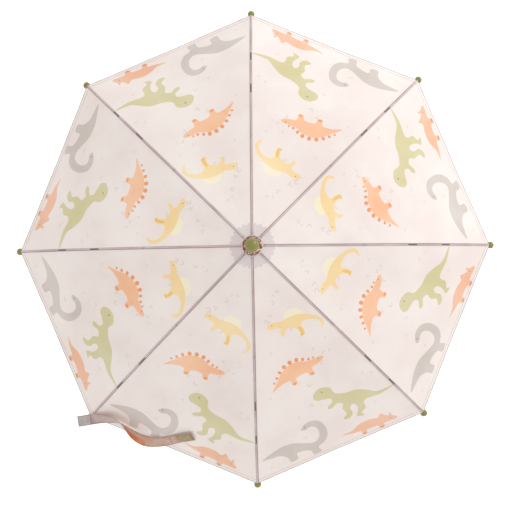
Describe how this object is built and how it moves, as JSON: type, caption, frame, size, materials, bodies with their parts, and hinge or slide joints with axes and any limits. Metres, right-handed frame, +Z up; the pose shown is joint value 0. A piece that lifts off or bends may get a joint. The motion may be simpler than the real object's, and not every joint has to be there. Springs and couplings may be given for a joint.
{
  "type": "children's umbrella",
  "caption": "Child-size stick umbrella, shown open: octagonal printed canopy on folding ribs and stretchers, sliding runner, ball tips and a crook handle.",
  "frame": {"origin": "middle of the handle's straight grip, on the shaft's axis", "axes": "+Z up the shaft to the ball on top, +X along rib 1 and towards the open end of the crook"},
  "size_m": [0.7074, 0.7074, 0.5614],
  "materials": {
    "shaft_steel": "bright zinc-plated steel tube",
    "rib_steel": "zinc-plated pressed steel channel",
    "olive_plastic": "gloss moulded plastic, olive green",
    "white_plastic": "satin moulded plastic, off-white",
    "canopy_fabric": "printed plain-weave polyester, pale pink",
    "strap_fabric": "printed plain-weave polyester band"
  },
  "bodies": {
    "stick": {"shaft": "shaft_steel", "handle": "olive_plastic", "handle_ferrule": "shaft_steel", "handle_pin": "shaft_steel", "top_cap": "olive_plastic", "rosette": "canopy_fabric", "crown": "white_plastic", "crown_wire": "shaft_steel", "stop_pin": "shaft_steel", "catch_pins": "shaft_steel"},
    "runner": {"runner": "white_plastic"},
    "top_catch": {"top_catch": "rib_steel"},
    "bottom_catch": {"bottom_catch": "rib_steel"},
    "rib_arm_1": {"rib_inner_1": "rib_steel"},
    "rib_end_1": {"rib_outer_1": "rib_steel", "rib_tip_1": "olive_plastic", "canopy_panel_1": "canopy_fabric"},
    "stay_1": {"stretcher_1": "rib_steel"},
    "rib_arm_2": {"rib_inner_2": "rib_steel"},
    "rib_end_2": {"rib_outer_2": "rib_steel", "rib_tip_2": "olive_plastic", "canopy_panel_2": "canopy_fabric"},
    "stay_2": {"stretcher_2": "rib_steel"},
    "rib_arm_3": {"rib_inner_3": "rib_steel"},
    "rib_end_3": {"rib_outer_3": "rib_steel", "rib_tip_3": "olive_plastic", "canopy_panel_3": "canopy_fabric"},
    "stay_3": {"stretcher_3": "rib_steel"},
    "rib_arm_4": {"rib_inner_4": "rib_steel"},
    "rib_end_4": {"rib_outer_4": "rib_steel", "rib_tip_4": "olive_plastic", "canopy_panel_4": "canopy_fabric"},
    "stay_4": {"stretcher_4": "rib_steel"},
    "rib_arm_5": {"rib_inner_5": "rib_steel"},
    "rib_end_5": {"rib_outer_5": "rib_steel", "rib_tip_5": "olive_plastic", "canopy_panel_5": "canopy_fabric"},
    "stay_5": {"stretcher_5": "rib_steel"},
    "rib_arm_6": {"rib_inner_6": "rib_steel"},
    "rib_end_6": {"rib_outer_6": "rib_steel", "rib_tip_6": "olive_plastic", "canopy_panel_6": "canopy_fabric"},
    "stay_6": {"stretcher_6": "rib_steel"},
    "rib_arm_7": {"rib_inner_7": "rib_steel"},
    "rib_end_7": {"rib_outer_7": "rib_steel", "rib_tip_7": "olive_plastic", "canopy_panel_7": "canopy_fabric", "tie_strap": "strap_fabric", "strap_hook_pad": "strap_fabric", "strap_loop_pad": "strap_fabric"},
    "stay_7": {"stretcher_7": "rib_steel"},
    "rib_arm_8": {"rib_inner_8": "rib_steel"},
    "rib_end_8": {"rib_outer_8": "rib_steel", "rib_tip_8": "olive_plastic", "canopy_panel_8": "canopy_fabric"},
    "stay_8": {"stretcher_8": "rib_steel"}
  },
  "joints": [
    {"name": "runner_slide", "type": "slide", "parent": "stick", "child": "runner", "axis": [0, 0, -1], "range_m": [0, 0.22519], "deforming": ["top_catch", "bottom_catch", "tie_strap", "strap_hook_pad", "strap_loop_pad", "canopy_panel_1", "canopy_panel_2", "canopy_panel_3", "canopy_panel_4", "canopy_panel_5", "canopy_panel_6", "canopy_panel_7", "canopy_panel_8"]},
    {"name": "top_catch_press", "type": "hinge", "parent": "stick", "child": "top_catch", "pos_m": [0.00102, 0.00042, 0.28412], "axis": [0.3827, -0.9239, 0], "range_deg": [0, 4.5], "stiffness_Nm_per_rad": 1},
    {"name": "bottom_catch_press", "type": "hinge", "parent": "stick", "child": "bottom_catch", "pos_m": [0.00102, 0.00042, 0.16174], "axis": [-0.3827, 0.9239, 0], "range_deg": [0, 4.5], "stiffness_Nm_per_rad": 1},
    {"name": "rib_fold_1", "type": "hinge", "parent": "stick", "child": "rib_arm_1", "pos_m": [0.0105, 0, 0.44], "axis": [0, 1, 0], "range_deg": [0, 69]},
    {"name": "rib_unbend_1", "type": "hinge", "parent": "rib_arm_1", "child": "rib_end_1", "pos_m": [0.15604, 0, 0.40371], "axis": [0, -1, 0], "range_deg": [0, 14]},
    {"name": "stay_fold_1", "type": "hinge", "parent": "rib_arm_1", "child": "stay_1", "pos_m": [0.15604, 0, 0.40371], "axis": [0, -1, 0], "range_deg": [0, 138]},
    {"name": "rib_fold_2", "type": "hinge", "parent": "stick", "child": "rib_arm_2", "pos_m": [0.00743, 0.00743, 0.44], "axis": [-0.7071, 0.7071, 0], "range_deg": [0, 69]},
    {"name": "rib_unbend_2", "type": "hinge", "parent": "rib_arm_2", "child": "rib_end_2", "pos_m": [0.11034, 0.11034, 0.40371], "axis": [0.7071, -0.7071, 0], "range_deg": [0, 14]},
    {"name": "stay_fold_2", "type": "hinge", "parent": "rib_arm_2", "child": "stay_2", "pos_m": [0.11034, 0.11034, 0.40371], "axis": [0.7071, -0.7071, 0], "range_deg": [0, 138]},
    {"name": "rib_fold_3", "type": "hinge", "parent": "stick", "child": "rib_arm_3", "pos_m": [0, 0.0105, 0.44], "axis": [-1, 0, 0], "range_deg": [0, 69]},
    {"name": "rib_unbend_3", "type": "hinge", "parent": "rib_arm_3", "child": "rib_end_3", "pos_m": [0, 0.15604, 0.40371], "axis": [1, 0, 0], "range_deg": [0, 14]},
    {"name": "stay_fold_3", "type": "hinge", "parent": "rib_arm_3", "child": "stay_3", "pos_m": [0, 0.15604, 0.40371], "axis": [1, 0, 0], "range_deg": [0, 138]},
    {"name": "rib_fold_4", "type": "hinge", "parent": "stick", "child": "rib_arm_4", "pos_m": [-0.00743, 0.00743, 0.44], "axis": [-0.7071, -0.7071, 0], "range_deg": [0, 69]},
    {"name": "rib_unbend_4", "type": "hinge", "parent": "rib_arm_4", "child": "rib_end_4", "pos_m": [-0.11034, 0.11034, 0.40371], "axis": [0.7071, 0.7071, 0], "range_deg": [0, 14]},
    {"name": "stay_fold_4", "type": "hinge", "parent": "rib_arm_4", "child": "stay_4", "pos_m": [-0.11034, 0.11034, 0.40371], "axis": [0.7071, 0.7071, 0], "range_deg": [0, 138]},
    {"name": "rib_fold_5", "type": "hinge", "parent": "stick", "child": "rib_arm_5", "pos_m": [-0.0105, 0, 0.44], "axis": [0, -1, 0], "range_deg": [0, 69]},
    {"name": "rib_unbend_5", "type": "hinge", "parent": "rib_arm_5", "child": "rib_end_5", "pos_m": [-0.15604, 0, 0.40371], "axis": [0, 1, 0], "range_deg": [0, 14]},
    {"name": "stay_fold_5", "type": "hinge", "parent": "rib_arm_5", "child": "stay_5", "pos_m": [-0.15604, 0, 0.40371], "axis": [0, 1, 0], "range_deg": [0, 138]},
    {"name": "rib_fold_6", "type": "hinge", "parent": "stick", "child": "rib_arm_6", "pos_m": [-0.00743, -0.00743, 0.44], "axis": [0.7071, -0.7071, 0], "range_deg": [0, 69]},
    {"name": "rib_unbend_6", "type": "hinge", "parent": "rib_arm_6", "child": "rib_end_6", "pos_m": [-0.11034, -0.11034, 0.40371], "axis": [-0.7071, 0.7071, 0], "range_deg": [0, 14]},
    {"name": "stay_fold_6", "type": "hinge", "parent": "rib_arm_6", "child": "stay_6", "pos_m": [-0.11034, -0.11034, 0.40371], "axis": [-0.7071, 0.7071, 0], "range_deg": [0, 138]},
    {"name": "rib_fold_7", "type": "hinge", "parent": "stick", "child": "rib_arm_7", "pos_m": [0, -0.0105, 0.44], "axis": [1, 0, 0], "range_deg": [0, 69]},
    {"name": "rib_unbend_7", "type": "hinge", "parent": "rib_arm_7", "child": "rib_end_7", "pos_m": [0, -0.15604, 0.40371], "axis": [-1, 0, 0], "range_deg": [0, 14]},
    {"name": "stay_fold_7", "type": "hinge", "parent": "rib_arm_7", "child": "stay_7", "pos_m": [0, -0.15604, 0.40371], "axis": [-1, 0, 0], "range_deg": [0, 138]},
    {"name": "rib_fold_8", "type": "hinge", "parent": "stick", "child": "rib_arm_8", "pos_m": [0.00743, -0.00743, 0.44], "axis": [0.7071, 0.7071, 0], "range_deg": [0, 69]},
    {"name": "rib_unbend_8", "type": "hinge", "parent": "rib_arm_8", "child": "rib_end_8", "pos_m": [0.11034, -0.11034, 0.40371], "axis": [-0.7071, -0.7071, 0], "range_deg": [0, 14]},
    {"name": "stay_fold_8", "type": "hinge", "parent": "rib_arm_8", "child": "stay_8", "pos_m": [0.11034, -0.11034, 0.40371], "axis": [-0.7071, -0.7071, 0], "range_deg": [0, 138]}
  ],
  "couplings": [
    {"joint": "rib_fold_1", "follows": "runner_slide", "rad_per_m": 5.3479},
    {"joint": "rib_unbend_1", "follows": "runner_slide", "rad_per_m": 1.0851},
    {"joint": "stay_fold_1", "follows": "runner_slide", "rad_per_m": 10.696},
    {"joint": "rib_fold_2", "follows": "runner_slide", "rad_per_m": 5.3479},
    {"joint": "rib_unbend_2", "follows": "runner_slide", "rad_per_m": 1.0851},
    {"joint": "stay_fold_2", "follows": "runner_slide", "rad_per_m": 10.696},
    {"joint": "rib_fold_3", "follows": "runner_slide", "rad_per_m": 5.3479},
    {"joint": "rib_unbend_3", "follows": "runner_slide", "rad_per_m": 1.0851},
    {"joint": "stay_fold_3", "follows": "runner_slide", "rad_per_m": 10.696},
    {"joint": "rib_fold_4", "follows": "runner_slide", "rad_per_m": 5.3479},
    {"joint": "rib_unbend_4", "follows": "runner_slide", "rad_per_m": 1.0851},
    {"joint": "stay_fold_4", "follows": "runner_slide", "rad_per_m": 10.696},
    {"joint": "rib_fold_5", "follows": "runner_slide", "rad_per_m": 5.3479},
    {"joint": "rib_unbend_5", "follows": "runner_slide", "rad_per_m": 1.0851},
    {"joint": "stay_fold_5", "follows": "runner_slide", "rad_per_m": 10.696},
    {"joint": "rib_fold_6", "follows": "runner_slide", "rad_per_m": 5.3479},
    {"joint": "rib_unbend_6", "follows": "runner_slide", "rad_per_m": 1.0851},
    {"joint": "stay_fold_6", "follows": "runner_slide", "rad_per_m": 10.696},
    {"joint": "rib_fold_7", "follows": "runner_slide", "rad_per_m": 5.3479},
    {"joint": "rib_unbend_7", "follows": "runner_slide", "rad_per_m": 1.0851},
    {"joint": "stay_fold_7", "follows": "runner_slide", "rad_per_m": 10.696},
    {"joint": "rib_fold_8", "follows": "runner_slide", "rad_per_m": 5.3479},
    {"joint": "rib_unbend_8", "follows": "runner_slide", "rad_per_m": 1.0851},
    {"joint": "stay_fold_8", "follows": "runner_slide", "rad_per_m": 10.696}
  ]
}
